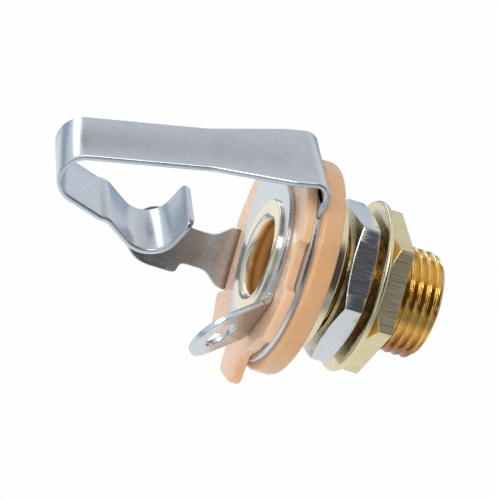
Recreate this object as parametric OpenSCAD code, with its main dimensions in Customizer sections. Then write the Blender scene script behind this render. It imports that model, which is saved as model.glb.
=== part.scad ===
// Panel jack for a quarter inch plug: a threaded bushing clamps a stack of two insulators and
// two sheet terminals, and a folded spring arm reaches back over the plug's way.
// Millimetres. The plug's axis is Y, with the mouth toward -Y and the spring arm on the +Z side.
// The origin is on the plug's axis, where the straight wall of the bore begins.

/* [Bushing] */
// Diameter of the bore that takes the plug
bore_d = 6.5; // [6.4:0.05:7]
// Chamfer at the mouth of the bore
mouth_chamfer = 0.3; // [0.1:0.05:0.6]
// Outer diameter of the thread
thread_d = 9.525; // [9:0.025:11]
// Chamfer that starts the thread
thread_lead = 0.5; // [0.2:0.05:0.8]
// Distance from one turn of the thread to the next, 32 to the inch
thread_pitch = 0.79375; // [0.6:0.00625:1.1]
// Depth of the thread
thread_depth = 0.45; // [0.3:0.01:0.5]
// Width of the thread's crests
thread_crest = 0.1; // [0.05:0.01:0.2]
// Length of thread in front of the front nut
thread_show = 4.2; // [2:0.1:8]
// Diameter of the neck between the thread and the flange
neck_d = 9; // [8.4:0.1:9.4]
// Length of the neck
neck_len = 0.85; // [0.6:0.05:2]
// Diameter of the flange
flange_d = 13.8; // [12:0.1:15]
// Thickness of the flange
flange_t = 1.4; // [1:0.05:2]
// Chamfer on the flange's edges
flange_chamfer = 0.2; // [0.1:0.05:0.4]
// Outer diameter of the tube through the stack
tube_d = 8.4; // [8:0.1:9]
// Height of the rolled lip behind the stack
lip_h = 0.3; // [0.2:0.05:0.6]
// Outer diameter of the rolled lip
lip_d = 10.2; // [9.4:0.1:11]
// Radius of the rounding from the bore into the rolled lip
flare_r = 0.9; // [0.5:0.05:0.95]

/* [Nuts and washer] */
// Width of the nuts across their flats
nut_af = 12.7; // [12:0.1:14]
// Thickness of the front nut
front_nut_t = 2.05; // [1.5:0.05:3]
// Depth of the front nut's chamfer at its corners
front_nut_chamfer = 0.85; // [0.3:0.05:1.2]
// Diameter of the round face that the front nut's chamfer leaves
front_nut_face_d = 12.4; // [11.6:0.1:12.7]
// Direction of one corner of the front nut, from +X toward +Z
front_nut_turn = 58.6; // [0:0.1:60]
// Thickness of the rear nut
rear_nut_t = 2.05; // [1.5:0.05:3]
// Depth of the rear nut's chamfers at its corners
rear_nut_chamfer = 0.3; // [0.1:0.05:0.6]
// Diameter of the round faces that the rear nut's chamfers leave
rear_nut_face_d = 12.6; // [12:0.1:12.7]
// Direction of one corner of the rear nut, from +X toward +Z
rear_nut_turn = 49.6; // [0:0.1:60]
// Radial clearance of the nuts on the thread
nut_clear = 0.05; // [0.02:0.01:0.1]
// Outer diameter of the washer
washer_d = 15.4; // [14:0.1:17]
// Thickness of the washer
washer_t = 0.5; // [0.4:0.05:1]
// Radial clearance of the washer on the thread
washer_clear = 0.2; // [0.1:0.05:0.4]
// Gap between the loose washer and the rear nut
washer_play = 0.45; // [0.1:0.05:2]

/* [Insulators] */
// Diameter of the front insulator
front_ins_d = 19.1; // [18:0.1:21]
// Thickness of the front insulator
front_ins_t = 2; // [1.5:0.05:3]
// Rounding of the front insulator's rim
front_ins_round = 0.5; // [0.2:0.05:0.7]
// Diameter of the collar that centres the tip terminal
collar_d = 12; // [11:0.1:13]
// Diameter of the rear insulator
rear_ins_d = 18.4; // [17:0.1:20]
// Thickness of the rear insulator
rear_ins_t = 1; // [0.8:0.05:1.2]
// Reach of the rear insulator's wide lobe from the axis
lobe_r = 13.1; // [12:0.1:13.5]
// Direction where the wide lobe starts
lobe_from = 293; // [285:1:300]
// Direction where the wide lobe ends, past a full turn
lobe_to = 390; // [380:1:395]
// Margin of the rear insulator round the end of the sleeve terminal's plate
end_margin = 0.6; // [0.2:0.1:0.8]
// Corners cut off the wide lobe
lobe_cut = 0.6; // [0.2:0.1:1]
// Direction of the narrow tab
tab_az = 252; // [245:1:260]
// Width of the narrow tab
tab_w = 5; // [3:0.1:6]
// Rounding of the narrow tab's corners
tab_round = 0.5; // [0.2:0.1:1]
// Reach of the narrow tab from the axis
tab_r = 11; // [10.4:0.1:12.4]
// Direction where the rim steps in beside the narrow tab
step_az = 203; // [195:1:215]
// Radius of the rim between that step and the narrow tab
step_r = 8.45; // [8:0.05:9]
// Direction of the key notch
notch_az = 152; // [140:1:165]
// Width of the key notch
notch_w = 4.1; // [3:0.1:5]
// Distance of the key notch's floor from the axis
notch_r = 7.9; // [7:0.1:8.4]
// Clearance between the stack's holes and the bushing
stack_clear = 0.1; // [0.05:0.05:0.2]

/* [Terminals] */
// Thickness of the terminals and the spring
sheet_t = 0.5; // [0.4:0.05:0.6]
// Diameter of the tip terminal's plate
tip_plate_d = 17.8; // [17:0.1:18.4]
// Clearance of the tip terminal's hole on the collar
collar_clear = 0.1; // [0.05:0.05:0.3]
// Direction of the tip lug
tip_lug_az = 327.8; // [325:0.1:331]
// Width of the tip lug where it leaves the plate
tip_lug_w = 5.7; // [5:0.1:6]
// Clearance of the tip lug in the rear insulator's slot, each side
tip_lug_clear = 0.12; // [0.05:0.01:0.3]
// Distance of the tip lug's middle surface from the axis
tip_lug_r = 11.4; // [11:0.1:12]
// Inner radius of the tip lug's bend
tip_lug_bend_r = 0.6; // [0.4:0.05:0.8]
// Length of the tip lug's full width behind the bend
tip_lug_base = 1.1; // [0.6:0.1:2]
// Length over which the tip lug narrows to its neck
tip_lug_taper = 1.4; // [0.6:0.1:2]
// Width of the tip lug's neck
tip_lug_neck = 3.3; // [3:0.1:4]
// Distance from the bend's end to the tip lug's head
tip_head_from_bend = 4.9; // [4:0.1:6]
// Width of the tip lug's head, and diameter of its round end
tip_head_w = 5.4; // [5:0.1:6]
// Rounding of the head's front corners
tip_head_round = 0.7; // [0.3:0.1:1]
// Distance from the head's front edge to the eye, which the round end is centred on
tip_eye_from_head = 2.8; // [2.4:0.1:3.4]
// Diameter of the eyes in both lugs
eye_d = 2.9; // [2:0.1:3.2]
// Diameter of the sleeve terminal's plate round the bushing
sleeve_plate_d = 13; // [12:0.1:13.6]
// Diameter of the rounded end of the sleeve terminal's plate
sleeve_end_d = 6.8; // [5:0.1:10]
// Distance from the axis to the middle of that rounded end
sleeve_end_r = 7; // [6:0.1:8]
// Direction of that rounded end
sleeve_end_az = 23.5; // [15:0.5:35]
// Direction of the sleeve lug
sleeve_lug_az = 203.5; // [198:0.5:210]
// Width of the sleeve lug
sleeve_lug_w = 5.8; // [5:0.1:7]
// Distance from the axis to the sleeve lug's fold
sleeve_fold_r = 6.1; // [5.6:0.1:6.8]
// Inner radius of the sleeve lug's fold
sleeve_fold_in = 0.5; // [0.3:0.05:0.8]
// Angle that the sleeve lug is folded back
sleeve_fold = 50; // [40:1:60]
// Distance from the fold to the eye of the sleeve lug
sleeve_eye_from_fold = 3.9; // [2.5:0.1:5]

/* [Tip spring] */
// Distance from the axis to the start of the root bend
root_z = 9.17; // [8.9:0.01:9.6]
// Inner radius of the root bend
root_bend_r = 0.8; // [0.6:0.05:1.2]
// Angle of the root bend
root_bend = 103.6; // [95:0.1:108]
// Width of the spring at its root
root_w = 9.6; // [8:0.1:10.4]
// Width of the arm and the leaf
arm_w = 7; // [6:0.1:8]
// Length of the arm
arm_len = 18.85; // [17:0.05:22]
// Length of the root's full width on the arm
arm_full = 1.8; // [0.5:0.1:4]
// Length over which the arm narrows
arm_taper = 6.7; // [4:0.1:9]
// Inner radius of the U-bend at the arm's end
u_bend_r = 1.9; // [1.4:0.05:2.4]
// Angle of the U-bend
u_bend = 150; // [140:1:160]
// Length of the return leaf before its jog
leaf_len = 2.9; // [2:0.05:5]
// Inner radius of the jog's first bend
jog_in_r = 0.75; // [0.5:0.05:1.5]
// Angle of the jog's first bend
jog_in = 17.9; // [10:0.1:25]
// Length between the jog's bends
jog_len = 0.2; // [0.1:0.05:1]
// Inner radius of the jog's second bend
jog_out_r = 0.95; // [0.5:0.05:1.5]
// Angle of the jog's second bend
jog_out = 34.9; // [25:0.1:45]
// Length of the leaf between the jog and the contact
dip_len = 2.08; // [1:0.05:3]
// Inner radius of the contact's bend
contact_r = 2.4; // [1.6:0.05:3.2]
// Angle of the contact's bend
contact_bend = 104.8; // [90:0.1:115]
// Length of the free end past the contact
free_len = 2.2; // [1:0.05:3]
// Rounding of the free end's corners
free_round = 0.8; // [0.3:0.1:2]

/* [Hidden] */
$fn = 96;
thread_r = thread_d / 2;
// Half the width of the groove between two crests of the thread
groove_half = (thread_pitch - thread_crest) / 2;
tube_r = tube_d / 2;
y_mouth = -mouth_chamfer;
y_front_nut = y_mouth + thread_show;
y_washer = y_front_nut + front_nut_t;
y_rear_nut = y_washer + washer_t + washer_play;
y_neck = y_rear_nut + rear_nut_t;
y_flange = y_neck + neck_len;
y_front_ins = y_flange + flange_t;
y_tip = y_front_ins + front_ins_t;
y_rear_ins = y_tip + sheet_t;
y_sleeve = y_rear_ins + rear_ins_t;
y_stack_end = y_sleeve + sheet_t;
y_lip = y_stack_end + lip_h;
// Middle heights of the thread's grooves, which stand in for its turns
groove_count = floor((y_neck - y_mouth - thread_lead) / thread_pitch);
groove_y = [for (k = [1 : groove_count]) y_mouth + thread_lead + (k - 0.5) * thread_pitch];
// Half of the root bend belongs to the terminal and half to the spring
root_half = root_bend / 2;
// Radius of the strip's middle surface in the tip lug's bend
tip_lug_mid_r = tip_lug_bend_r + sheet_t / 2;
// Radius of the tip lug's slot floor, clear of the lug's bend
tip_slot_r = tip_lug_r - tip_lug_mid_r - tip_lug_clear;
// Distance that a nut's trim is drawn past its corners
trim_past = 0.2;
// Length of an edge that lies beyond every outline
beyond = 40;

// Largest turn between two points of a bend in the spring's side profile
bend_step = 5;
// Runs of the spring from the cut in its root bend: length of a flat, then the angle and the inner
// radius of the bend after it. A bend with a positive angle turns toward the plug's axis first
spring_runs = [[0, root_bend - root_half, root_bend_r], [arm_len, u_bend, u_bend_r],
    [leaf_len, jog_in, jog_in_r], [jog_len, -jog_out, jog_out_r], [dip_len, contact_bend, contact_r],
    [free_len, 0, 0]];
// Place and heading of the strip's middle surface at the cut in the root bend, in Y and Z
root_mid_r = root_bend_r + sheet_t / 2;
spring_start = [y_tip + sheet_t / 2 + root_mid_r * (1 - cos(root_half)),
    root_z + root_mid_r * sin(root_half), 90 - root_half];
spring_path = concat([spring_start], walk(spring_runs, 0, spring_start));

brass = [0.80, 0.68, 0.38];
nickel = [0.74, 0.75, 0.76];
fibre = [0.93, 0.70, 0.55];

// Number of points on a bend
function bend_steps(a) = ceil(abs(a) / bend_step);

// Point of a strip, as its place in Y and Z and its heading, after a straight run
function ahead(p, d) = [p[0] + d * cos(p[2]), p[1] + d * sin(p[2]), p[2]];

// Point of a strip after a turn by an angle round a middle radius, clockwise if both are positive
function turn(p, r, a) = [p[0] + r * (sin(p[2]) - sin(p[2] - a)), p[1] - r * (cos(p[2]) - cos(p[2] - a)),
    p[2] - a];

// Points of a strip along one run: the end of its flat, then the points of its bend
function run_points(run, p) = let (
        n = bend_steps(run[1]),
        r = sign(run[1]) * (run[2] + sheet_t / 2),
        q = ahead(p, run[0]))
    concat(run[0] > 0 ? [q] : [], [for (k = [1 : 1 : n]) turn(q, r, run[1] * k / n)]);

// Points of a strip along all its runs from one of them on
function walk(runs, i, p) = i == len(runs) ? [] : let (points = run_points(runs[i], p))
    concat(points, walk(runs, i + 1, points[len(points) - 1]));

// Side profile of a strip along its points
module strip_profile(path) {
    n = len(path);
    half = sheet_t / 2;
    polygon(concat(
        [for (p = path) [p[0] - half * sin(p[2]), p[1] + half * cos(p[2])]],
        [for (k = [n - 1 : -1 : 0]) let (p = path[k]) [p[0] + half * sin(p[2]), p[1] - half * cos(p[2])]]));
}

// Turns a half outline of radius and height round the plug's axis
module turned() {
    rotate([-90, 0, 0])
        rotate_extrude()
            children();
}

// Cuts a flat sheet of an outline in X and Z, with its front face at y
module sheet(y, t) {
    translate([0, y + t, 0])
        rotate([90, 0, 0])
            linear_extrude(height = t)
                children();
}

// Strip frame on a sheet's middle surface: along the strip is +Y, the front face is +Z
module strip_from(y, az, r) {
    rotate([0, 90 - az, 0])
        translate([0, y + sheet_t / 2, r])
            rotate([90, 0, 0])
                children();
}

// Moves on past a bend toward the strip's back face
module past_bend(r, a) {
    mid_r = r + sheet_t / 2;
    translate([0, 0, -mid_r])
        rotate([-a, 0, 0])
            translate([0, 0, mid_r])
                children();
}

// Bends the strip toward its back face and goes on
module bend_in(r, a, w) {
    translate([0, 0, -r - sheet_t / 2])
        rotate([0, -90, 0])
            rotate_extrude(angle = a)
                translate([r, -w / 2])
                    square([sheet_t, w]);
    past_bend(r, a)
        children();
}

// Lays out a flat of the strip from its plan
module flat_of() {
    translate([0, 0, -sheet_t / 2])
        linear_extrude(height = sheet_t)
            children();
}

// Plan of a straight piece that starts at one width and ends at another
module taper(len, w_from, w_to) {
    polygon([[-w_from / 2, 0], [w_from / 2, 0], [w_to / 2, len], [-w_to / 2, len]]);
}

// Plan of a straight piece whose two end corners are rounded
module rounded_end(len, w, r) {
    translate([-w / 2, 0])
        square([w, len - r]);
    translate([-w / 2 + r, 0])
        square([w - 2 * r, len]);
    for (side = [-1, 1])
        translate([side * (w / 2 - r), len - r])
            circle(r = r);
}

// Sector of a disc, less than half of it, with its outer corners cut off
module cut_sector(r, from, to, cut) {
    difference() {
        circle(r = r);
        rotate(from)
            translate([-beyond, -beyond])
                square([2 * beyond, beyond]);
        rotate(to)
            translate([-beyond, 0])
                square([2 * beyond, beyond]);
        for (az = [from, to])
            rotate(az)
                translate([r, 0])
                    circle(r = cut, $fn = 4);
    }
}

// Hexagon nut outline with one corner in a given direction
module hexagon(af, az) {
    rotate(az)
        circle(d = af / cos(30), $fn = 6);
}

// Half outline that trims a nut's corners by one depth in front and one behind, drawn out past them
module nut_trim(y, t, face_d, front, rear) {
    face_r = face_d / 2;
    corner_r = nut_af / 2 / cos(30);
    out_r = corner_r + trim_past;
    reach = (out_r - face_r) / (corner_r - face_r);
    front_edge = front > 0 ? [[face_r, y], [out_r, y + front * reach]] : [[out_r, y]];
    polygon(concat([[0, y]], front_edge, [[out_r, y + t - rear * reach], [face_r, y + t], [0, y + t]]));
}

// Hexagon nut with its bore clear of the thread
module hex_nut(y, t, az, face_d, front, rear) {
    difference() {
        intersection() {
            sheet(y, t)
                hexagon(nut_af, az);
            turned()
                nut_trim(y, t, face_d, front, rear);
        }
        turned()
            translate([0, y - t])
                square([thread_r + nut_clear, 3 * t]);
    }
}

module bushing() {
    bore_r = bore_d / 2;
    lip_mid_r = lip_d / 2 - lip_h;
    color(brass)
        turned()
            difference() {
                union() {
                    polygon(concat(
                        [[0, y_mouth], [thread_r - thread_lead, y_mouth],
                            [thread_r, y_mouth + thread_lead]],
                        [for (y = groove_y) each [[thread_r, y - groove_half],
                            [thread_r - thread_depth, y], [thread_r, y + groove_half]]],
                        [[thread_r, y_neck], [neck_d / 2, y_neck], [neck_d / 2, y_flange],
                            [flange_d / 2 - flange_chamfer, y_flange],
                            [flange_d / 2, y_flange + flange_chamfer],
                            [flange_d / 2, y_front_ins - flange_chamfer],
                            [flange_d / 2 - flange_chamfer, y_front_ins], [tube_r, y_front_ins],
                            [tube_r, y_stack_end], [lip_mid_r, y_stack_end], [lip_mid_r, y_lip],
                            [0, y_lip]]));
                    intersection() {
                        translate([lip_mid_r, y_stack_end])
                            circle(r = lip_h);
                        translate([lip_mid_r, y_stack_end])
                            square(lip_h);
                    }
                }
                polygon([[0, y_mouth], [bore_r + mouth_chamfer, y_mouth], [bore_r, 0],
                    [bore_r, y_lip], [0, y_lip]]);
                difference() {
                    translate([bore_r, y_lip - flare_r])
                        square(flare_r);
                    translate([bore_r + flare_r, y_lip - flare_r])
                        circle(r = flare_r);
                }
            }
}

module rear_hex_nut() {
    color(nickel)
        hex_nut(y_rear_nut, rear_nut_t, rear_nut_turn, rear_nut_face_d, rear_nut_chamfer,
            rear_nut_chamfer);
}

module front_hex_nut() {
    color(brass)
        hex_nut(y_front_nut, front_nut_t, front_nut_turn, front_nut_face_d, 0, front_nut_chamfer);
}

module panel_washer() {
    hole_r = thread_r + washer_clear;
    rim_mid_r = washer_d / 2 - washer_t / 2;
    color(brass)
        turned() {
            translate([hole_r, y_washer])
                square([rim_mid_r - hole_r, washer_t]);
            translate([rim_mid_r, y_washer + washer_t / 2])
                circle(d = washer_t);
        }
}

module front_insulator() {
    hole_r = tube_r + stack_clear;
    rim_r = front_ins_d / 2;
    color(fibre)
        turned() {
            translate([hole_r, y_front_ins])
                square([rim_r - front_ins_round - hole_r, front_ins_t]);
            translate([hole_r, y_front_ins + front_ins_round])
                square([rim_r - hole_r, front_ins_t - 2 * front_ins_round]);
            for (y = [y_front_ins + front_ins_round, y_tip - front_ins_round])
                translate([rim_r - front_ins_round, y])
                    circle(r = front_ins_round);
            translate([hole_r, y_tip - front_ins_round])
                square([collar_d / 2 - hole_r, front_ins_round + sheet_t]);
        }
}

module tip_terminal() {
    lug_start = tip_lug_r - tip_lug_mid_r;
    eye_from_bend = tip_head_from_bend + tip_eye_from_head;
    color(nickel) {
        sheet(y_tip, sheet_t)
            difference() {
                union() {
                    circle(d = tip_plate_d);
                    translate([-root_w / 2, 0])
                        square([root_w, root_z]);
                    rotate(tip_lug_az)
                        translate([0, -tip_lug_w / 2])
                            square([lug_start, tip_lug_w]);
                }
                circle(r = collar_d / 2 + collar_clear);
            }
        strip_from(y_tip, 90, root_z)
            bend_in(root_bend_r, root_half, root_w);
        strip_from(y_tip, tip_lug_az, lug_start)
            bend_in(tip_lug_bend_r, 90, tip_lug_w)
                flat_of()
                    difference() {
                        union() {
                            translate([-tip_lug_w / 2, 0])
                                square([tip_lug_w, tip_lug_base]);
                            translate([0, tip_lug_base])
                                taper(tip_lug_taper, tip_lug_w, tip_lug_neck);
                            translate([-tip_lug_neck / 2, 0])
                                square([tip_lug_neck, eye_from_bend]);
                            translate([0, eye_from_bend])
                                rotate(180)
                                    rounded_end(tip_eye_from_head, tip_head_w, tip_head_round);
                            translate([0, eye_from_bend])
                                circle(d = tip_head_w);
                        }
                        translate([0, eye_from_bend])
                            circle(d = eye_d);
                    }
    }
}

// The folded spring: its side profile drawn out to the root's width, then trimmed to its plan
module tip_spring() {
    y_arm = spring_path[bend_steps(spring_runs[0][1])][0];
    lean = root_bend - 90;
    y_full = y_arm + arm_full * cos(lean);
    y_narrow = y_full + arm_taper * cos(lean);
    end = spring_path[len(spring_path) - 1];
    color(nickel)
        difference() {
            intersection() {
                translate([-root_w / 2, 0, 0])
                    rotate([90, 0, 90])
                        linear_extrude(height = root_w)
                            strip_profile(spring_path);
                translate([0, 0, -beyond])
                    linear_extrude(height = 2 * beyond)
                        polygon([[-root_w / 2, 0], [root_w / 2, 0], [root_w / 2, y_full],
                            [arm_w / 2, y_narrow], [arm_w / 2, beyond], [-arm_w / 2, beyond],
                            [-arm_w / 2, y_narrow], [-root_w / 2, y_full]]);
            }
            translate([0, end[0], end[1]])
                rotate([end[2], 0, 0])
                    for (side = [0, 1])
                        mirror([side, 0, 0])
                            translate([arm_w / 2 - free_round, -free_round, -sheet_t])
                                linear_extrude(height = 2 * sheet_t)
                                    difference() {
                                        square(2 * free_round);
                                        circle(r = free_round);
                                    }
        }
}

module rear_insulator() {
    color(fibre)
        sheet(y_rear_ins, rear_ins_t)
            difference() {
                union() {
                    difference() {
                        circle(d = rear_ins_d);
                        difference() {
                            polygon([[0, 0], beyond * [cos(step_az), sin(step_az)],
                                beyond * [cos(tab_az), sin(tab_az)]]);
                            circle(r = step_r);
                        }
                    }
                    cut_sector(lobe_r, lobe_from, lobe_to, lobe_cut);
                    rotate(sleeve_end_az)
                        translate([sleeve_end_r, 0])
                            circle(r = sleeve_end_d / 2 + end_margin);
                    rotate(tab_az - 90)
                        rounded_end(tab_r, tab_w, tab_round);
                }
                circle(r = tube_r + stack_clear);
                rotate(notch_az)
                    translate([notch_r, -notch_w / 2])
                        square([beyond, notch_w]);
                rotate(tip_lug_az)
                    translate([tip_slot_r, -tip_lug_w / 2 - tip_lug_clear])
                        square([beyond, tip_lug_w + 2 * tip_lug_clear]);
            }
}

module sleeve_terminal() {
    plate_r = sleeve_plate_d / 2;
    end_r = sleeve_end_d / 2;
    // Direction of the tangent's touch points, seen from the line between both centres
    touch = acos((plate_r - end_r) / sleeve_end_r);
    color(nickel) {
        sheet(y_sleeve, sheet_t)
            difference() {
                union() {
                    circle(r = plate_r);
                    rotate(sleeve_end_az) {
                        translate([sleeve_end_r, 0])
                            circle(r = end_r);
                        polygon([[plate_r * cos(touch), plate_r * sin(touch)],
                            [sleeve_end_r + end_r * cos(touch), end_r * sin(touch)],
                            [sleeve_end_r + end_r * cos(touch), -end_r * sin(touch)],
                            [plate_r * cos(touch), -plate_r * sin(touch)]]);
                    }
                    rotate(sleeve_lug_az)
                        translate([0, -sleeve_lug_w / 2])
                            square([sleeve_fold_r, sleeve_lug_w]);
                }
                circle(r = tube_r + stack_clear);
                rotate(sleeve_lug_az)
                    translate([sleeve_fold_r, -sleeve_lug_w / 2])
                        square([beyond, sleeve_lug_w]);
            }
        strip_from(y_sleeve, sleeve_lug_az, sleeve_fold_r)
            bend_in(sleeve_fold_in, sleeve_fold, sleeve_lug_w)
                flat_of()
                    difference() {
                        union() {
                            translate([-sleeve_lug_w / 2, 0])
                                square([sleeve_lug_w, sleeve_eye_from_fold]);
                            translate([0, sleeve_eye_from_fold])
                                circle(d = sleeve_lug_w);
                        }
                        translate([0, sleeve_eye_from_fold])
                            circle(d = eye_d);
                    }
    }
}

bushing();
rear_hex_nut();
panel_washer();
front_hex_nut();
front_insulator();
tip_terminal();
tip_spring();
rear_insulator();
sleeve_terminal();
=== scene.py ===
"""Looks for a quarter inch panel jack: turned brass, plated nuts and sheet, and moulded insulators."""
import math

import bmesh
import bpy
import numpy as np
from mathutils import Matrix, Vector


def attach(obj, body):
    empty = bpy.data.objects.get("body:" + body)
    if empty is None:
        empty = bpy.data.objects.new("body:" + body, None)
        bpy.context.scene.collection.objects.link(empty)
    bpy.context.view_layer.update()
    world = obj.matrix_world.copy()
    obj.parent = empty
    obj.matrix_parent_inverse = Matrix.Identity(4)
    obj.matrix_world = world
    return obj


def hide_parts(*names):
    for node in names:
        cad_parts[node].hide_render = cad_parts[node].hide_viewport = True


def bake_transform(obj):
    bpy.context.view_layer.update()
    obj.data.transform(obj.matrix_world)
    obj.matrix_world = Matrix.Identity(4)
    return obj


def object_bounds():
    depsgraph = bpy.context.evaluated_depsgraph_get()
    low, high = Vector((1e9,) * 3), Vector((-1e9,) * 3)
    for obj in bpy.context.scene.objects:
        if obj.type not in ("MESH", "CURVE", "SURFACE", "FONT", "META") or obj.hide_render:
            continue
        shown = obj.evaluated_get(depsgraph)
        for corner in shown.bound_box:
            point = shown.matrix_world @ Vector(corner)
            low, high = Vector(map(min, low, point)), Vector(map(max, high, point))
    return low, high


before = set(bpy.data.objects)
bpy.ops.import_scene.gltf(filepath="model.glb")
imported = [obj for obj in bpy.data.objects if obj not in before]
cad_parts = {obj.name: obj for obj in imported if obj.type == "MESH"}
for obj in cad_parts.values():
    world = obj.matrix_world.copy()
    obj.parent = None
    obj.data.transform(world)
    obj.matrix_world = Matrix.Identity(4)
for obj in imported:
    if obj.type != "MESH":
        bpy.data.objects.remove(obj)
cad_lo, cad_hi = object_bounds()
MM = 0.001
TAU = 2 * math.pi

# Sizes of the solids that the pieces below follow, in millimetres and degrees
BORE_R, THREAD_R, PITCH, THREAD_DEPTH = 3.25, 4.7625, 0.79375, 0.45
MOUTH_CHAMFER, THREAD_LEAD = 0.3, 0.5
NECK_R, FLANGE_R, TUBE_R, LIP_R, FLARE_R = 4.5, 6.9, 4.2, 5.1, 0.9
Y_MOUTH, Y_NUT, Y_WASHER, Y_WASHER_END, Y_REAR_NUT, Y_NECK = -0.3, 3.9, 5.95, 6.45, 6.9, 8.95
Y_FLANGE, Y_FRONT_INS, Y_TIP, Y_REAR_INS = 9.8, 11.2, 13.2, 13.7
Y_SLEEVE, Y_STACK, Y_LIP = 14.7, 15.2, 15.5
NUT_AF, NUT_CLEAR = 12.7, 0.05
WASHER_R, WASHER_HOLE_R = 7.7, 4.96
FRONT_INS_R, COLLAR_R, STACK_HOLE_R = 9.55, 6.0, 4.3
SHEET, EYE_R = 0.5, 1.45

# Angles above which an edge is shaded sharp, on round and folded pieces and on nuts
SHARP, NUT_SHARP = 40, 24
# Steps round the plug's axis on turned pieces and on nuts
SEGS, NUT_SEGS = 160, 240


def rad(deg):
    return math.radians(deg)


# Mesh helpers

def finish_mesh(name, verts, faces, body, node, material, sharp):
    """Makes an object of points in millimetres that rides on a body and stands for a solid."""
    me = bpy.data.meshes.new(name)
    me.from_pydata([Vector(v) * MM for v in verts], [], faces)
    bm = bmesh.new()
    bm.from_mesh(me)
    bmesh.ops.remove_doubles(bm, verts=bm.verts, dist=1e-7)
    bmesh.ops.dissolve_degenerate(bm, edges=bm.edges, dist=1e-8)
    bmesh.ops.recalc_face_normals(bm, faces=bm.faces)
    bm.to_mesh(me)
    bm.free()
    return finish_object(name, me, body, node, material, sharp)


def finish_object(name, me, body, node, material, sharp):
    """Shades a mesh and makes the object that stands for a solid. A blended piece gives no body."""
    me.polygons.foreach_set("use_smooth", [True] * len(me.polygons))
    me.set_sharp_from_angle(angle=rad(sharp))
    obj = bpy.data.objects.new(name, me)
    bpy.context.scene.collection.objects.link(obj)
    me.materials.append(material)
    if body:
        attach(obj, body)
    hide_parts(node)
    return obj


def grid_faces(rows, cols, close_rows=False):
    """Faces between rows of points, where each row is a closed ring."""
    faces = []
    for i in range(rows if close_rows else rows - 1):
        for j in range(cols):
            a, b = i * cols + j, i * cols + (j + 1) % cols
            k = (i + 1) % rows
            faces.append((a, b, k * cols + (j + 1) % cols, k * cols + j))
    return faces


def rounded(points, n):
    """Corner points (r, y, radius) of a closed profile, with each corner rounded in n steps."""
    out = []
    m = len(points)
    for i, (px, py, pr) in enumerate(points):
        p = np.array([px, py], float)
        if pr <= 0:
            out.append(tuple(p))
            continue
        a = np.array(points[i - 1][:2], float) - p
        b = np.array(points[(i + 1) % m][:2], float) - p
        la, lb = np.linalg.norm(a), np.linalg.norm(b)
        a, b = a / la, b / lb
        half = math.acos(max(-1, min(1, float(a @ b)))) / 2
        cut = min(pr / math.tan(half), 0.49 * la, 0.49 * lb)
        radius = cut * math.tan(half)
        mid = (a + b) / np.linalg.norm(a + b)
        centre = p + mid * radius / math.sin(half)
        s, e = p + a * cut - centre, p + b * cut - centre
        t0, t1 = math.atan2(s[1], s[0]), math.atan2(e[1], e[0])
        d = (t1 - t0 + math.pi) % TAU - math.pi
        for k in range(n + 1):
            t = t0 + d * k / n
            out.append(tuple(centre + radius * np.array([math.cos(t), math.sin(t)])))
    return out


def lathe(name, rows, segs, body, node, material, sharp):
    """Closed ring of rows (r, y) turned round the plug's axis. r and y may vary with the angle."""
    th = np.arange(segs) * TAU / segs
    verts = []
    for r, y in rows:
        r = np.broadcast_to(r, segs)
        y = np.broadcast_to(y, segs)
        verts.extend(zip(r * np.cos(th), y, r * np.sin(th)))
    faces = grid_faces(len(rows), segs, close_rows=True)
    return finish_mesh(name, verts, faces, body, node, material, sharp)


def soften(points, sigma, step=0.08):
    """Closed outline resampled at even steps, with its corners rounded."""
    p = np.array(points, float)
    q = np.vstack([p, p[:1]])
    d = np.r_[0, np.cumsum(np.hypot(*np.diff(q, axis=0).T))]
    n = max(16, int(d[-1] / step))
    u = np.arange(n) * d[-1] / n
    xy = np.c_[np.interp(u, d, q[:, 0]), np.interp(u, d, q[:, 1])]
    f = np.fft.fftfreq(n, d[-1] / n)
    g = np.exp(-2 * (math.pi * f * sigma) ** 2)
    z = np.fft.ifft(np.fft.fft(xy[:, 0] + 1j * xy[:, 1]) * g)
    return np.c_[z.real, z.imag]


def plate_mesh(name, loops, t, bevel, matrix):
    """Flat plate of outlines in its own plane, with rounded edges, placed by a matrix in millimetres."""
    cu = bpy.data.curves.new(name + "_outline", "CURVE")
    cu.dimensions, cu.fill_mode = "2D", "BOTH"
    cu.extrude, cu.bevel_depth, cu.bevel_resolution, cu.offset = t / 2 - bevel, bevel, 2, -bevel
    for loop in loops:
        sp = cu.splines.new("POLY")
        sp.points.add(len(loop) - 1)
        sp.points.foreach_set("co", np.c_[loop, np.zeros(len(loop)), np.ones(len(loop))].ravel())
        sp.use_cyclic_u = True
    tmp = bpy.data.objects.new(name + "_outline", cu)
    bpy.context.scene.collection.objects.link(tmp)
    bpy.context.view_layer.update()
    me = bpy.data.meshes.new_from_object(tmp.evaluated_get(bpy.context.evaluated_depsgraph_get()))
    bpy.data.objects.remove(tmp)
    bpy.data.curves.remove(cu)
    me.transform(Matrix.Scale(MM, 4) @ matrix)
    return me


def strip_mesh(name, stations, half_width, half_t, place, edge=0.1):
    """Sheet strip along stations (u, v, heading, distance) in a plane, set in space by
    place(u, v, across)."""
    verts = []
    section = []
    for cx, cy, a0 in ((1, 1, 0), (-1, 1, 90), (-1, -1, 180), (1, -1, 270)):
        for k in range(4):
            a = rad(a0 + 30 * k)
            section.append((cx, cy, math.cos(a), math.sin(a)))
    for u, v, h, s in stations:
        w = half_width(s)
        for cx, cy, ca, sa in section:
            across = cx * (w - edge) + edge * ca
            off = cy * (half_t - edge) + edge * sa
            verts.append(place(u - off * math.sin(h), v + off * math.cos(h), across))
    n = len(section)
    faces = grid_faces(len(stations), n)
    faces.append(tuple(range(n)))
    faces.append(tuple(reversed(range((len(stations) - 1) * n, len(stations) * n))))
    me = bpy.data.meshes.new(name)
    me.from_pydata([Vector(p) * MM for p in verts], [], faces)
    return me


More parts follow.
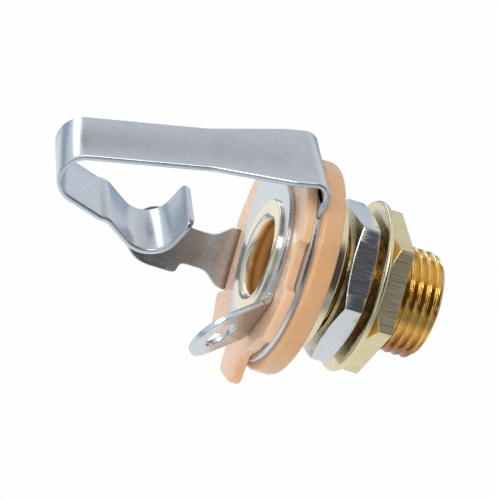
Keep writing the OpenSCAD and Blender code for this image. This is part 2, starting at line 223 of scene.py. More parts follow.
def walk(start, runs, flat_step=0.5, bend_step=4.0):
    """Stations along a folded strip: runs of (length of a flat, angle in degrees, inner radius)."""
    u, v, h = start[0], start[1], rad(start[2])
    s = 0.0
    out = [(u, v, h, s)]
    for length, angle, r in runs:
        if length > 0:
            n = max(1, int(math.ceil(length / flat_step)))
            for _ in range(n):
                u, v, s = u + length / n * math.cos(h), v + length / n * math.sin(h), s + length / n
                out.append((u, v, h, s))
        if angle:
            n = max(2, int(math.ceil(abs(angle) / bend_step)))
            m = math.copysign(r + SHEET / 2, angle)
            d = rad(angle) / n
            for _ in range(n):
                u, v = u + m * (math.sin(h) - math.sin(h - d)), v - m * (math.cos(h) - math.cos(h - d))
                h, s = h - d, s + abs(m * d)
                out.append((u, v, h, s))
    return out


def joined(name, meshes, body, node, material, sharp):
    """Makes one object of several meshes."""
    bm = bmesh.new()
    for me in meshes:
        bm.from_mesh(me)
    bmesh.ops.recalc_face_normals(bm, faces=bm.faces)
    me = bpy.data.meshes.new(name)
    bm.to_mesh(me)
    bm.free()
    return finish_object(name, me, body, node, material, sharp)


def columns(axes, origin):
    """Matrix with three axes and an origin as its columns."""
    m = Matrix.Identity(4)
    for i, column in enumerate((*axes, origin)):
        for j in range(3):
            m[j][i] = column[j]
    return m


# Material helpers

class Nodes:
    """A principled material and short calls for the nodes that feed it."""

    def __init__(self, name, **values):
        self.mat = bpy.data.materials.new(name)
        self.mat.use_nodes = True
        self.tree = self.mat.node_tree
        self.bsdf = self.tree.nodes["Principled BSDF"]
        for key, value in values.items():
            self.bsdf.inputs[key.replace("_", " ")].default_value = value
        self.coords = self.add("ShaderNodeTexCoord").outputs["Object"]

    def add(self, kind, **props):
        n = self.tree.nodes.new(kind)
        for k, v in props.items():
            setattr(n, k, v)
        return n

    def link(self, a, b):
        self.tree.links.new(a, b)

    def noise(self, scale, detail, rough=0.55):
        """Noise with its own scale, per metre, along each axis."""
        m = self.add("ShaderNodeMapping")
        m.inputs["Scale"].default_value = scale
        self.link(self.coords, m.inputs["Vector"])
        n = self.add("ShaderNodeTexNoise")
        n.inputs["Scale"].default_value = 1.0
        n.inputs["Detail"].default_value = detail
        n.inputs["Roughness"].default_value = rough
        self.link(m.outputs["Vector"], n.inputs["Vector"])
        return n.outputs["Fac"]

    def height(self):
        """Place along the plug's axis, in metres."""
        sep = self.add("ShaderNodeSeparateXYZ")
        self.link(self.coords, sep.inputs[0])
        return sep.outputs["Y"]

    def radius(self):
        """Distance from the plug's axis, in metres."""
        flat = self.add("ShaderNodeVectorMath", operation="MULTIPLY")
        self.link(self.coords, flat.inputs[0])
        flat.inputs[1].default_value = (1, 0, 1)
        length = self.add("ShaderNodeVectorMath", operation="LENGTH")
        self.link(flat.outputs[0], length.inputs[0])
        return length.outputs["Value"]

    def facing_axis(self):
        """Share of a face that is square to the plug's axis: 0 on the sides, 1 on ends and chamfers."""
        sep = self.add("ShaderNodeSeparateXYZ")
        self.link(self.add("ShaderNodeNewGeometry").outputs["True Normal"], sep.inputs[0])
        return self.between(self.math("ABSOLUTE", sep.outputs["Y"]), 0.3, 0.5)

    def toward(self, axis, low, high):
        """Share of the way along an axis from the origin, between two distances in millimetres."""
        dot = self.add("ShaderNodeVectorMath", operation="DOT_PRODUCT")
        self.link(self.coords, dot.inputs[0])
        dot.inputs[1].default_value = Vector(axis).normalized()
        return self.between(dot.outputs["Value"], low * MM, high * MM)

    def between(self, value, low, high):
        """Share of the way from low to high."""
        span = self.add("ShaderNodeMapRange")
        span.inputs["From Min"].default_value = low
        span.inputs["From Max"].default_value = high
        self.link(value, span.inputs["Value"])
        return span.outputs["Result"]

    def turned_lines(self, per_m):
        """Fine rings that follow the axis on round faces and the radius on flat ones."""
        total = self.math("ADD", self.height(), self.radius())
        n = self.add("ShaderNodeTexNoise", noise_dimensions="1D")
        n.inputs["Scale"].default_value = per_m
        n.inputs["Detail"].default_value = 4.0
        self.link(total, n.inputs["W"])
        return n.outputs["Fac"]

    def math(self, op, *values):
        m = self.add("ShaderNodeMath", operation=op)
        for value, socket in zip(values, m.inputs):
            self.link(value, socket)
        return m.outputs[0]

    def ramp(self, fac, stops):
        """Colour ramp of stops (place, colour), or (place, grey level)."""
        r = self.add("ShaderNodeValToRGB")
        e = r.color_ramp.elements
        while len(e) < len(stops):
            e.new(0.5)
        for el, (pos, col) in zip(e, stops):
            el.position = pos
            el.color = (*col, 1) if hasattr(col, "__len__") else (col, col, col, 1)
        self.link(fac, r.inputs["Fac"])
        return r.outputs["Color"]

    def mix(self, fac, a, b):
        """Goes from a to b, each a colour or a socket, with a socket's share."""
        m = self.add("ShaderNodeMix", data_type="RGBA")
        self.link(fac, m.inputs[0])
        for socket, x in ((m.inputs[6], a), (m.inputs[7], b)):
            if hasattr(x, "node"):
                self.link(x, socket)
            else:
                socket.default_value = (*x, 1)
        return m.outputs[2]

    def bump(self, *layers):
        """Layers of (height, strength, distance in metres)."""
        last = None
        for height, strength, distance in layers:
            b = self.add("ShaderNodeBump")
            b.inputs["Strength"].default_value = strength
            b.inputs["Distance"].default_value = distance
            self.link(height, b.inputs["Height"])
            if last is not None:
                self.link(last, b.inputs["Normal"])
            last = b.outputs["Normal"]
        self.link(last, self.bsdf.inputs["Normal"])

    def to(self, socket, key):
        self.link(socket, self.bsdf.inputs[key])


def grey(level):
    return (level, level, level)


def height_ramp(m, stops):
    """Colour that changes along the plug's axis: stops of (height in millimetres, colour)."""
    first, last = stops[0][0], stops[-1][0]
    share = m.between(m.height(), first * MM, last * MM)
    return m.ramp(share, [((y - first) / (last - first), c) for y, c in stops])


def turned_brass():
    """Bare brass, paler on the flange and the rolled lip and duller in the bore. Painted shade browns the
    thread's underside, and the bore's wall carries painted light and shade along its depth."""
    m = Nodes("turned_brass", Metallic=1.0)
    lines = m.turned_lines(26000)
    along = height_ramp(m, [(-1, (0.80, 0.53, 0.17)), (8.6, (0.80, 0.55, 0.20)), (9.8, (0.77, 0.67, 0.44)),
                            (14.9, (0.79, 0.70, 0.50)), (15.3, (0.84, 0.77, 0.63))])
    bore = m.between(m.radius(), (BORE_R + 0.25) * MM, (BORE_R + 0.05) * MM)
    patch = m.ramp(m.noise((160, 160, 160), 3), [(0.35, 0.0), (0.7, 0.35)])
    # Painted shade: the thread's lower side is coloured dark brown as if it lay in shade.
    on_thread = m.between(m.height(), 8.9 * MM, 8.6 * MM)
    underside = m.toward((-0.45, 0, -0.89), 0.5 * THREAD_R, 0.88 * THREAD_R)
    painted_underside_shade = m.math("MULTIPLY", on_thread, underside)
    outside = m.mix(painted_underside_shade, m.mix(patch, along, (0.82, 0.66, 0.38)), (0.32, 0.13, 0.045))
    # Painted light and shade in the bore: dark brown near both ends of the seen wall, bright gold between
    # them.
    inside = height_ramp(m, [(13.6, (0.62, 0.30, 0.08)), (14.0, (1.0, 0.68, 0.27)), (14.3, (1.0, 0.62, 0.22)),
                             (14.6, (0.52, 0.24, 0.06))])
    m.to(m.mix(bore, outside, inside), "Base Color")
    m.to(m.mix(bore, grey(1), grey(0.6)), "Metallic")
    polish = m.ramp(m.noise((420, 420, 420), 4), [(0.3, 0.10), (0.75, 0.20)])
    m.to(m.mix(bore, polish, grey(0.30)), "Roughness")
    m.bump((lines, 0.10, 0.00002))
    return m.mat


def stamped_brass():
    """Stamped sheet brass with a cloudy colour and faint rings."""
    m = Nodes("stamped_brass", Metallic=1.0)
    cloud = m.noise((300, 300, 300), 3)
    m.to(m.ramp(cloud, [(0.3, (0.72, 0.61, 0.37)), (0.7, (0.80, 0.71, 0.49))]), "Base Color")
    m.to(m.ramp(m.noise((900, 900, 900), 3), [(0.3, 0.20), (0.7, 0.30)]), "Roughness")
    m.bump((m.turned_lines(9000), 0.08, 0.00002))
    return m.mat


def nut_brass():
    """Drawn flats with fine lines along the axis, and turned ends and chamfers without them, painted a deeper
    yellow that stands for the warm light they take from the brass washer.
    """
    m = Nodes("drawn_brass", Metallic=1.0)
    drawn = m.noise((9000, 400, 9000), 4)
    flats = m.ramp(drawn, [(0.32, (0.64, 0.54, 0.32)), (0.5, (0.78, 0.68, 0.42)), (0.7, (0.90, 0.80, 0.54))])
    ends = m.facing_axis()
    # Painted reflection: ends and chamfers are coloured a deeper yellow for the washer's warm light.
    m.to(m.mix(ends, flats, (0.86, 0.59, 0.15)), "Base Color")
    m.to(m.ramp(drawn, [(0.3, 0.34), (0.7, 0.50)]), "Roughness")
    m.bump((m.mix(ends, drawn, grey(0.5)), 0.45, 0.00004))
    return m.mat


def nut_nickel():
    """Plating over drawn flats, with fine lines along the axis."""
    m = Nodes("plated_nut", Metallic=1.0)
    drawn = m.noise((9000, 600, 9000), 3)
    cloud = m.noise((260, 260, 260), 3)
    m.to(m.ramp(cloud, [(0.3, (0.60, 0.62, 0.65)), (0.7, (0.67, 0.69, 0.72))]), "Base Color")
    m.to(m.ramp(drawn, [(0.3, 0.18), (0.7, 0.32)]), "Roughness")
    m.bump((m.mix(m.facing_axis(), drawn, grey(0.5)), 0.25, 0.00003))
    return m.mat


def plated_sheet():
    """Bright plating with the grain of rolled sheet and a few dull patches."""
    m = Nodes("plated_sheet", Metallic=1.0)
    rolled = m.noise((5000, 900, 1500), 4)
    grain = m.noise((2600, 2600, 2600), 4)
    dull = m.noise((240, 420, 240), 5, 0.65)
    pale = m.ramp(grain, [(0.3, (0.63, 0.66, 0.70)), (0.7, (0.675, 0.705, 0.745))])
    m.to(m.mix(m.ramp(dull, [(0.52, 0.0), (0.72, 0.55)]), pale, (0.56, 0.58, 0.61)), "Base Color")
    m.to(m.ramp(rolled, [(0.3, 0.20), (0.7, 0.30)]), "Roughness")
    m.bump((rolled, 0.08, 0.00001), (grain, 0.06, 0.00001))
    return m.mat


def moulded(name, low, high):
    """Soft translucent plastic with a pale bloom at shallow angles."""
    m = Nodes(name, IOR=1.6, Subsurface_Weight=0.6, Subsurface_Radius=(1.0, 0.36, 0.14),
              Subsurface_Scale=0.0018, Sheen_Weight=0.25, Sheen_Roughness=0.35,
              Sheen_Tint=(1.0, 0.90, 0.90, 1))
    cloud = m.noise((330, 330, 330), 4)
    m.to(m.ramp(cloud, [(0.3, low), (0.72, high)]), "Base Color")
    m.to(m.ramp(m.noise((900, 900, 900), 3), [(0.3, 0.18), (0.7, 0.32)]), "Roughness")
    return m.mat


BRASS, WASHER_BRASS, NUT_BRASS = turned_brass(), stamped_brass(), nut_brass()
NUT_NICKEL, PLATED = nut_nickel(), plated_sheet()
# The two insulators' peach differs as painted light and shade: the rear copy is paler to lift its rims in
# shade, the front copy darker to offset the fill light on its rim.
FRONT_PEACH_PAINTED_DARKER = moulded("peach_moulding", (0.71, 0.40, 0.18), (0.78, 0.48, 0.25))
REAR_PEACH_PAINTED_PALER = moulded("pale_peach_moulding", (0.93, 0.54, 0.32), (0.98, 0.62, 0.40))


# Turned pieces

def thread_rows():
    """Rows of the threaded barrel from its rear end to its lead chamfer, with a right-hand helix."""
    rows_per_turn, run_out, first_row = 18, 0.5, 0.02
    # Shares of half a pitch where the crest begins and that a flank takes, and of a smooth step in
    # the flank's shape
    crest, flank, ease = 0.88, 0.82, 0.3
    y_lead, y_first = Y_MOUTH + THREAD_LEAD, Y_MOUTH + first_row
    th = np.arange(SEGS) * TAU / SEGS
    rows = []
    n = int((Y_NECK - Y_MOUTH) / PITCH * rows_per_turn)
    for k in range(n + 1):
        y = Y_NECK - (Y_NECK - y_first) * k / n
        phase = (y / PITCH + th / TAU) % 1.0
        v = np.abs(2 * phase - 1)                     # 1 on a crest, 0 in a root
        cut = np.clip((crest - v) / flank, 0, 1)
        cut = cut * cut * (3 - 2 * cut) * ease + cut * (1 - ease)
        fade = min(1.0, max(0.0, (Y_NECK - y) / run_out))
        limit = THREAD_R - max(0.0, y_lead - y)
        rows.append((np.minimum(THREAD_R - THREAD_DEPTH * cut * fade, limit), y))
    return rows


bush = rounded([(BORE_R + MOUTH_CHAMFER, Y_MOUTH, 0), (BORE_R, 0, 0.1), (BORE_R, 4, 0), (BORE_R, 9, 0),
                (BORE_R, Y_LIP, FLARE_R), (LIP_R, Y_LIP, 0.28), (LIP_R, Y_STACK, 0.03), (TUBE_R, Y_STACK, 0),
                (TUBE_R, Y_FRONT_INS, 0), (FLANGE_R, Y_FRONT_INS, 0.22), (FLANGE_R, Y_FLANGE, 0.22),
                (NECK_R, Y_FLANGE, 0.12), (NECK_R, Y_NECK + 0.12, 0)], 8)
bush += thread_rows()
lathe("bushing_turned", bush, SEGS, "body", "bushing", BRASS, SHARP)

washer = rounded([(WASHER_HOLE_R, Y_WASHER, 0.05), (WASHER_R, Y_WASHER, 0.22), (WASHER_R, Y_WASHER_END, 0.22),
                  (WASHER_HOLE_R, Y_WASHER_END, 0.05)], 6)
lathe("panel_washer_ring", washer, SEGS, "washer", "panel_washer", WASHER_BRASS, SHARP)

disc = rounded([(STACK_HOLE_R, Y_FRONT_INS, 0.05), (FRONT_INS_R, Y_FRONT_INS, 0.55),
                (FRONT_INS_R, Y_TIP, 0.35), (COLLAR_R, Y_TIP, 0.05), (COLLAR_R, Y_REAR_INS, 0.08),
                (STACK_HOLE_R, Y_REAR_INS, 0.05)], 8)
lathe("front_insulator_disc", disc, SEGS, "body", "front_insulator", FRONT_PEACH_PAINTED_DARKER, SHARP)


def hex_nut(name, y0, y1, corner, face_r, front, rear, body, node, material):
    """Hexagon nut between two heights, with a corner's direction in degrees, the radius of its round
    faces, and the depth of its front and rear chamfers at the corners."""
    th = np.arange(NUT_SEGS) * TAU / NUT_SEGS
    off = (th - rad(corner)) % rad(60) - rad(30)
    corner_r = NUT_AF / 2 / math.cos(rad(30))
    # Depth of the countersinks, and width of the broken edges
    sink, e = 0.42, 0.05
    flat = np.minimum(NUT_AF / 2 / np.cos(off), corner_r - e)
    bore = THREAD_R + NUT_CLEAR

    def drop(depth):
        """Height that a chamfer takes off at the flats' edge."""
        return depth * np.clip(flat - face_r, 0, None) / (corner_r - face_r)

    def lean(depth):
        """Height that a chamfer takes off over a broken edge."""
        return e * depth / (corner_r - face_r)

    rows = [(bore + sink, y0), (bore, y0 + sink), (bore, y1 - sink), (bore + sink, y1)]
    rows += [(face_r - e, y1), (face_r + e, y1 - lean(rear)), (flat - e * 0.7, y1 - drop(rear) + e * 0.5),
             (flat, y1 - drop(rear) - e)]
    if front > 0:
        rows += [(flat, y0 + drop(front) + e), (flat - e * 0.7, y0 + drop(front) - e * 0.5),
                 (face_r + e, y0 + lean(front)), (face_r - e, y0)]
    else:
        rows += [(flat, y0 + e), (flat - e, y0)]
    return lathe(name, rows, NUT_SEGS, body, node, material, NUT_SHARP)


hex_nut("front_nut_hex", Y_NUT, Y_WASHER, corner=58.6, face_r=6.2, front=0, rear=0.85,
        body="front_nut", node="front_hex_nut", material=NUT_BRASS)
hex_nut("rear_nut_hex", Y_REAR_NUT, Y_NECK, corner=49.6, face_r=6.3, front=0.3, rear=0.3,
        body="body", node="rear_hex_nut", material=NUT_NICKEL)


# Outlines of flat pieces, as the reach from the axis in each direction

def xz_plate(y_mid):
    """Plane of the stack: outline x to X, outline y to Z, at the middle height y."""
    return Matrix(((1, 0, 0, 0), (0, 0, -1, y_mid), (0, 1, 0, 0), (0, 0, 0, 1)))


def polar_outline(reach, n=1440):
    """Outline that goes as far as reach(angle) in each direction."""
    th = np.arange(n) * TAU / n
    r = np.array([reach(t) for t in th])
    return np.c_[r * np.cos(th), r * np.sin(th)]


def off_from(t, az):
    """Signed angle from a direction in degrees to an angle."""
    return (t - rad(az) + math.pi) % TAU - math.pi


def tab_reach(t, az, half, length):
    """Reach of a straight tab in a direction."""
    d = off_from(t, az)
    if abs(d) > rad(85):
        return 0.0
    return min(length / math.cos(d), half / max(1e-9, abs(math.sin(d))))


def circle_reach(t, az, dist, r):
    """Reach of a circle whose centre is at a distance in a direction."""
    d = off_from(t, az)
    q = r * r - (dist * math.sin(d)) ** 2
    return dist * math.cos(d) + math.sqrt(q) if q > 0 and math.cos(d) > 0 else 0.0


def sector_reach(t, a0, a1, r):
    """Reach of a sector between two directions."""
    return r if (t - rad(a0)) % TAU < rad(a1 - a0) else 0.0


def notched(points, az, half, floor):
    """Outline with a straight notch cut into it toward the axis."""
    c, s = math.cos(rad(az)), math.sin(rad(az))
    along = points @ np.array([c, s])
    across = points @ np.array([-s, c])
    inside = (along > 0) & (abs(across) < half)
    k = int(np.argmax(inside & ~np.roll(inside, 1)))
    p, along, inside = (np.roll(x, -k, axis=0) for x in (points, along, inside))
    m = int(np.argmin(inside))
    corners = [(along[0], -half), (floor, -half), (floor, half), (along[m - 1], half)]
    return np.vstack([[(u * c - v * s, u * s + v * c) for u, v in corners], p[m:]])


def ring(r, n=120):
    """Points of a circle round the origin."""
    t = np.arange(n) * TAU / n
    return np.c_[r * np.cos(t), r * np.sin(t)]


# Rear insulator: a rim with a step, a wide lobe, a narrow tab, a key notch and the tip lug's slot
REAR_RIM_R, STEP_R, STEP_FROM = 9.2, 8.45, 203
LOBE_R, LOBE_FROM, LOBE_TO = 13.1, 294.3, 390
TAB_AZ, TAB_HALF, TAB_R = 252, 2.5, 11.0
NOTCH_AZ, NOTCH_HALF, NOTCH_FLOOR = 152, 2.05, 7.9
TIP_AZ, SLOT_HALF, SLOT_FLOOR = 327.8, 2.97, 10.43
# Rounded end of the sleeve terminal's plate, and the rear insulator's margin round it
END_AZ, END_AT, END_R, END_MARGIN = 23.5, 7.0, 3.4, 0.6
REAR_INS_T, REAR_INS_EDGE = 1.0, 0.2


def rear_reach(t):
    rim = STEP_R if STEP_FROM < math.degrees(t) < TAB_AZ else REAR_RIM_R
    return max(rim, sector_reach(t, LOBE_FROM, LOBE_TO, LOBE_R), tab_reach(t, TAB_AZ, TAB_HALF, TAB_R),
               circle_reach(t, END_AZ, END_AT, END_R + END_MARGIN))


outline = soften(polar_outline(rear_reach), sigma=0.5)
outline = notched(outline, NOTCH_AZ, NOTCH_HALF, NOTCH_FLOOR)
outline = notched(outline, TIP_AZ, SLOT_HALF, SLOT_FLOOR)
outline = soften(outline, sigma=0.36)
rear_ins = plate_mesh("rear_insulator", [outline, ring(STACK_HOLE_R)], REAR_INS_T, REAR_INS_EDGE,
                      xz_plate((Y_REAR_INS + Y_SLEEVE) / 2))
joined("rear_insulator_sheet", [rear_ins], "body", "rear_insulator", REAR_PEACH_PAINTED_PALER, SHARP)


# Terminals of sheet, with bent strips and lugs that end in an eye

def radial_place(az):
    """Strip plane through the axis: u is the distance from it, v is the height, across is sideways."""
    c, s = math.cos(rad(az)), math.sin(rad(az))
    return lambda u, v, w: (u * c + w * s, v, u * s - w * c)


def lug_matrix(az, u, v, heading):
    """Plane of a lug's flat: outline y runs along the strip from (u, v), outline x is sideways."""
    place = radial_place(az)
    o = Vector(place(u, v, 0))
    along = Vector(place(u + math.cos(heading), v + math.sin(heading), 0)) - o
    across = Vector(place(u, v, 1)) - o
    return columns((across, along, across.cross(along)), o)


def half_round(r, at):
    """Points of a lug's round end."""
    return [(r * math.cos(a), at + r * math.sin(a)) for a in np.linspace(0, math.pi, 40)]


def eye_ring(at):
    """Points of a lug's eye."""
    return ring(EYE_R, 48) + [0, at]


# Half thickness of a bent strip, just inside the flats that it joins, and how far it runs into them
THIN, LAP_IN, LAP_OUT = SHEET / 2 - 0.003, 0.7, 0.5
SHEET_EDGE = 0.06

# Tip terminal: plate, bent strip and the lug's flat with its eye
TIP_PLATE_R, TIP_HOLE_R, ROOT_HALF, ROOT_Z = 8.9, 6.1, 4.8, 9.17
LUG_R, LUG_START, LUG_BEND_R, LUG_HALF = 11.4, 10.55, 0.6, 2.85
LUG_BASE, NECK_HALF, NECK_FROM, NECK_TO = 1.0, 1.65, 2.4, 4.9
HEAD_HALF, HEAD_FROM, TIP_EYE_AT = 2.7, 4.95, 7.7


def tip_reach(t):
    return max(TIP_PLATE_R, tab_reach(t, 90, ROOT_HALF, ROOT_Z), tab_reach(t, TIP_AZ, LUG_HALF, LUG_START))


y_tip_mid = Y_TIP + SHEET / 2
tip_outline = soften(polar_outline(tip_reach), sigma=0.12)
tip_parts = [plate_mesh("tip_plate", [tip_outline, ring(TIP_HOLE_R)], SHEET, SHEET_EDGE, xz_plate(y_tip_mid))]
lug = walk((LUG_START - LAP_IN, y_tip_mid, 0), [(LAP_IN, -90, LUG_BEND_R), (LAP_OUT, 0, 0)])
tip_parts.append(strip_mesh("tip_lug_bend", lug, lambda s: LUG_HALF, THIN, radial_place(TIP_AZ)))
side = [(LUG_HALF, 0), (LUG_HALF, LUG_BASE), (NECK_HALF, NECK_FROM), (NECK_HALF, NECK_TO),
        (HEAD_HALF, HEAD_FROM)]
head = [(-LUG_HALF, 0)] + side + half_round(HEAD_HALF, TIP_EYE_AT) + [(-x, y) for x, y in side[:0:-1]]
head = soften(head, sigma=0.38)
lug_flat = lug_matrix(TIP_AZ, LUG_R, y_tip_mid + LUG_BEND_R + SHEET / 2, math.pi / 2)
tip_parts.append(plate_mesh("tip_lug_flat", [head, eye_ring(TIP_EYE_AT)], SHEET, SHEET_EDGE, lug_flat))
joined("tip_terminal_sheet", tip_parts, "body", "tip_terminal", PLATED, SHARP)

# Sleeve terminal: plate with a round end, and the lug folded up from it
SLEEVE_R, SLEEVE_AZ, SLEEVE_HALF, SLEEVE_EYE_AT = 6.5, 203.5, 2.9, 3.9
FOLD_R, FOLD, FOLD_IN = 6.1, 50, 0.5
# Angle between the round end's direction and the normals of the plate's straight edges
TOUCH = math.acos((SLEEVE_R - END_R) / END_AT)


def sleeve_reach(t):
    """Plate round the bushing, its round end, and the straight edges that touch both."""
    d = abs(off_from(t, END_AZ))
    r = max(SLEEVE_R, circle_reach(t, END_AZ, END_AT, END_R))
    if d <= TOUCH:
        line = SLEEVE_R / math.cos(d - TOUCH)
        if SLEEVE_R * math.cos(TOUCH) <= line * math.cos(d) <= END_AT + END_R * math.cos(TOUCH):
            r = max(r, line)
    from_lug = math.pi - d
    if from_lug < rad(60) and r * math.sin(from_lug) < SLEEVE_HALF:
        r = min(r, FOLD_R / math.cos(from_lug))
    return max(r, tab_reach(t, SLEEVE_AZ, SLEEVE_HALF, FOLD_R))


y_sleeve_mid = Y_SLEEVE + SHEET / 2
sleeve_outline = soften(polar_outline(sleeve_reach), sigma=0.1)
sleeve = [plate_mesh("sleeve_plate", [sleeve_outline, ring(STACK_HOLE_R)], SHEET, SHEET_EDGE,
                     xz_plate(y_sleeve_mid))]
fold = walk((FOLD_R - LAP_IN, y_sleeve_mid, 0), [(LAP_IN, -FOLD, FOLD_IN), (LAP_OUT, 0, 0)])
sleeve.append(strip_mesh("sleeve_lug_bend", fold, lambda s: SLEEVE_HALF, THIN, radial_place(SLEEVE_AZ)))
u_flat, v_flat, heading, _ = walk((FOLD_R, y_sleeve_mid, 0), [(0, -FOLD, FOLD_IN)])[-1]
eye = [(-SLEEVE_HALF, 0), (SLEEVE_HALF, 0)] + half_round(SLEEVE_HALF, SLEEVE_EYE_AT)
eye = soften(eye, sigma=0.1)
sleeve.append(plate_mesh("sleeve_lug_flat", [eye, eye_ring(SLEEVE_EYE_AT)], SHEET, SHEET_EDGE,
                         lug_matrix(SLEEVE_AZ, u_flat, v_flat, heading)))
joined("sleeve_terminal_sheet", sleeve, "body", "sleeve_terminal", PLATED, SHARP)

# Tip spring: one folded strip from the plate's tab through the root bend to its free end
ROOT_TAB, ROOT_BEND, ROOT_BEND_R = 0.55, 103.6, 0.8
ARM_HALF, ARM_FULL, ARM_TAPER, FREE_ROUND = 3.5, 1.8, 6.7, 0.8
RUNS = [(ROOT_TAB, ROOT_BEND, ROOT_BEND_R), (18.85, 150, 1.9), (2.9, 17.9, 0.75), (0.2, -34.9, 0.95),
        (2.08, 104.8, 2.4), (2.2, 0, 0)]
stations = walk((y_tip_mid, ROOT_Z - ROOT_TAB, 90), RUNS, flat_step=0.35)
S_END = stations[-1][3]
S_ARM = ROOT_TAB + rad(ROOT_BEND) * (ROOT_BEND_R + SHEET / 2)


def spring_half(s):
    """Half the strip's width along its length, with its root's flare and the free end's round corners."""
    t = min(1.0, max(0.0, (s - S_ARM - ARM_FULL) / ARM_TAPER))
    w = ROOT_HALF + (ARM_HALF - ROOT_HALF) * t
    left = S_END - s
    if left < FREE_ROUND:
        w -= FREE_ROUND - math.sqrt(max(0.0, FREE_ROUND ** 2 - (FREE_ROUND - left) ** 2))
    return w


def before_end(d):
    """Station at a distance before the free end."""
    u, v, h, s = stations[-1]
    return u - d * math.cos(h), v - d * math.sin(h), h, s - d


# Closer stations where the free end's corners are round
closer = [before_end(d) for d in (0.75, 0.6, 0.45, 0.3, 0.2, 0.12, 0.06, 0.02)]
stations = [p for p in stations if p[3] < S_END - FREE_ROUND] + closer + [stations[-1]]
spring = strip_mesh("tip_spring", stations, spring_half, SHEET / 2, lambda u, v, w: (w, u, v), edge=0.16)
strip = joined("tip_spring_strip", [spring], None, "tip_spring", PLATED, SHARP)
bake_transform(strip)


# Floor

def shader_tree(owner):
    """Empty node tree of a material or a world."""
    owner.use_nodes = True
    tree = owner.node_tree
    tree.nodes.clear()
    return tree


FLOOR_HALF, FLOOR_DROP = 4, 0.02
floor_z = cad_lo.z - FLOOR_DROP
me = bpy.data.meshes.new("floor")
corners = [(x * FLOOR_HALF, y * FLOOR_HALF, floor_z) for x, y in ((-1, -1), (1, -1), (1, 1), (-1, 1))]
me.from_pydata(corners, [], [(0, 1, 2, 3)])
floor = bpy.data.objects.new("floor", me)
bpy.context.scene.collection.objects.link(floor)
fm = bpy.data.materials.new("pale_floor")
ft = shader_tree(fm)
diffuse = ft.nodes.new("ShaderNodeBsdfDiffuse")
diffuse.inputs["Color"].default_value = (0.86, 0.86, 0.86, 1)
path = ft.nodes.new("ShaderNodeLightPath")


def floor_share(surface, ray, share, glow):
    """Mixes a share of a glow into a surface for one kind of ray."""
    part = ft.nodes.new("ShaderNodeMath")
    part.operation = "MULTIPLY"
    part.inputs[1].default_value = share
    ft.links.new(path.outputs[ray], part.inputs[0])
    mixer = ft.nodes.new("ShaderNodeMixShader")
    ft.links.new(part.outputs[0], mixer.inputs[0])
    ft.links.new(surface, mixer.inputs[1])
    ft.links.new(glow, mixer.inputs[2])
    return mixer.outputs[0]


def floor_painted_light_pool():
    """Painted pool of light on the floor round the object, seen only in reflections, which dims a hand's
    breadth away.
    """
    where = ft.nodes.new("ShaderNodeTexCoord").outputs["Object"]
    far = ft.nodes.new("ShaderNodeVectorMath")
    far.operation = "DISTANCE"
    ft.links.new(where, far.inputs[0])
    far.inputs[1].default_value = (0.03, 0.02, floor_z)
    ramp = ft.nodes.new("ShaderNodeValToRGB")
    near, rim = ramp.color_ramp.elements
    near.position, near.color = 0.07, (0.96, 1.0, 1.0, 1)
    rim.position, rim.color = 0.15, (0.29, 0.38, 0.49, 1)
    ft.links.new(far.outputs["Value"], ramp.inputs["Fac"])
    glow = ft.nodes.new("ShaderNodeEmission")
    ft.links.new(ramp.outputs["Color"], glow.inputs["Color"])
    return glow.outputs[0]


white = ft.nodes.new("ShaderNodeEmission")
surface = floor_share(diffuse.outputs[0], "Is Camera Ray", 0.97, white.outputs[0])
# Glossy rays see a painted pool of light on the floor.
surface = floor_share(surface, "Is Glossy Ray", 0.9, floor_painted_light_pool())
ft.links.new(surface, ft.nodes.new("ShaderNodeOutputMaterial").inputs["Surface"])
me.materials.append(fm)

# World: a pale studio with a dark patch near the camera and dimmer patches on the far side
world = bpy.data.worlds.new("studio")
bpy.context.scene.world = world
wt = shader_tree(world)
direction = wt.nodes.new("ShaderNodeTexCoord").outputs["Generated"]


def world_lobe(axis, outer, inner):
    """Share from 0 at an outer angle round an axis to 1 at an inner one, in degrees."""
    dot = wt.nodes.new("ShaderNodeVectorMath")
    dot.operation = "DOT_PRODUCT"
    wt.links.new(direction, dot.inputs[0])
    dot.inputs[1].default_value = Vector(axis).normalized()
    step = wt.nodes.new("ShaderNodeMapRange")
    step.interpolation_type = "SMOOTHSTEP"
    step.inputs["From Min"].default_value = math.cos(rad(outer))
    step.inputs["From Max"].default_value = math.cos(rad(inner))
    wt.links.new(dot.outputs["Value"], step.inputs["Value"])
    return step.outputs["Result"]


def world_mix(fac, a, b):
    """Goes from a, a colour or a socket, to the colour b."""
    mix = wt.nodes.new("ShaderNodeMix")
    mix.data_type = "RGBA"
    wt.links.new(fac, mix.inputs[0])
    if isinstance(a, tuple):
        mix.inputs[6].default_value = (*a, 1)
    else:
        wt.links.new(a, mix.inputs[6])
    mix.inputs[7].default_value = (*b, 1)
    return mix.outputs[2]


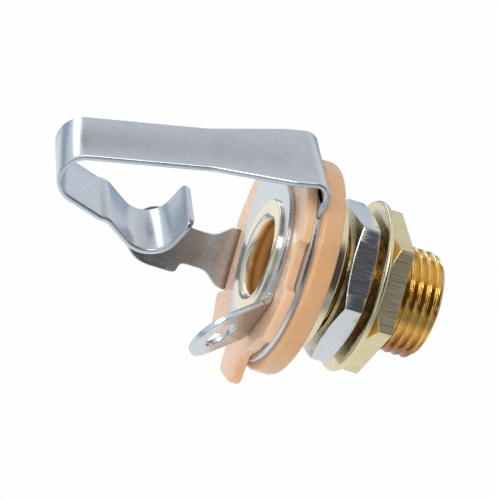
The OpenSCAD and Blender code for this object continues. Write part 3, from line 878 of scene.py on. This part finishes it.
sky = world_mix(world_lobe((0, 0, 1), 110, 20), (0.64, 0.71, 0.82), (0.86, 0.87, 0.88))
sky = world_mix(world_lobe((-0.70, -0.34, 0.63), 46, 22), sky, (0.07, 0.07, 0.08))
sky = world_mix(world_lobe((0.86, -0.05, 0.51), 22, 10), sky, (0.64, 0.65, 0.67))
sky = world_mix(world_lobe((0.86, 0.17, 0.48), 12, 5), sky, (0.30, 0.32, 0.36))
bg = wt.nodes.new("ShaderNodeBackground")
wt.links.new(sky, bg.inputs["Color"])
plain = wt.nodes.new("ShaderNodeBackground")
plain.inputs["Color"].default_value = (1, 1, 1, 1)
seen = wt.nodes.new("ShaderNodeMixShader")
wt.links.new(wt.nodes.new("ShaderNodeLightPath").outputs["Is Camera Ray"], seen.inputs[0])
wt.links.new(bg.outputs[0], seen.inputs[1])
wt.links.new(plain.outputs[0], seen.inputs[2])
wt.links.new(seen.outputs[0], wt.nodes.new("ShaderNodeOutputWorld").inputs["Surface"])

# Lights, aimed at the middle of the object
centre = Vector((0, 0.016, 0))


def softbox(name, direction, dist, size, power, up=(0, 0, 1), tint=(1, 1, 1), mirrored=True):
    """Soft light with its second size along up. Metal doesn't mirror it where mirrored is off."""
    li = bpy.data.lights.new(name, "AREA")
    li.shape, li.size, li.size_y = "RECTANGLE", size[0], size[1]
    li.energy, li.color = power, tint
    ob = bpy.data.objects.new(name, li)
    back = Vector(direction).normalized()
    side = Vector(up).cross(back).normalized()
    ob.matrix_world = columns((side, back.cross(side), back), centre + back * dist)
    ob.visible_glossy = mirrored
    bpy.context.scene.collection.objects.link(ob)


softbox("far_strip", (0.86, 0.39, 0.32), 0.5, (0.34, 0.10), 0.16, up=(0, -0.64, 0.77))
softbox("top", (-0.38, 0.30, 0.88), 0.5, (0.20, 0.20), 0.55, tint=(1, 0.97, 0.92))
softbox("front_fill", (-0.85, 0.10, 0.30), 0.6, (0.4, 0.4), 0.47, mirrored=False)
softbox("low_fill", (-0.75, 0.45, -0.03), 0.6, (0.4, 0.03), 0.42, tint=(1, 0.92, 0.86), mirrored=False)

# Camera, fitted to the photograph: its right, down and forward directions, and its place
CAMERA_RIGHT = Vector((-0.086398, -0.922927, 0.375154))
CAMERA_DOWN = Vector((-0.501820, -0.284988, -0.816675))
CAMERA_AHEAD = Vector((0.860646, -0.258819, -0.438521))
CAMERA_AT = Vector((-0.18433, 0.07168, 0.09422))
cam = bpy.data.cameras.new("camera")
cam.sensor_width, cam.lens = 36.0, 180.0
cam.clip_start, cam.clip_end = 0.01, 20
cam_ob = bpy.data.objects.new("camera", cam)
cam_ob.matrix_world = columns((CAMERA_RIGHT, -CAMERA_DOWN, -CAMERA_AHEAD), CAMERA_AT)
bpy.context.scene.collection.objects.link(cam_ob)
bpy.context.scene.camera = cam_ob
bpy.context.scene.view_settings.view_transform = "Standard"
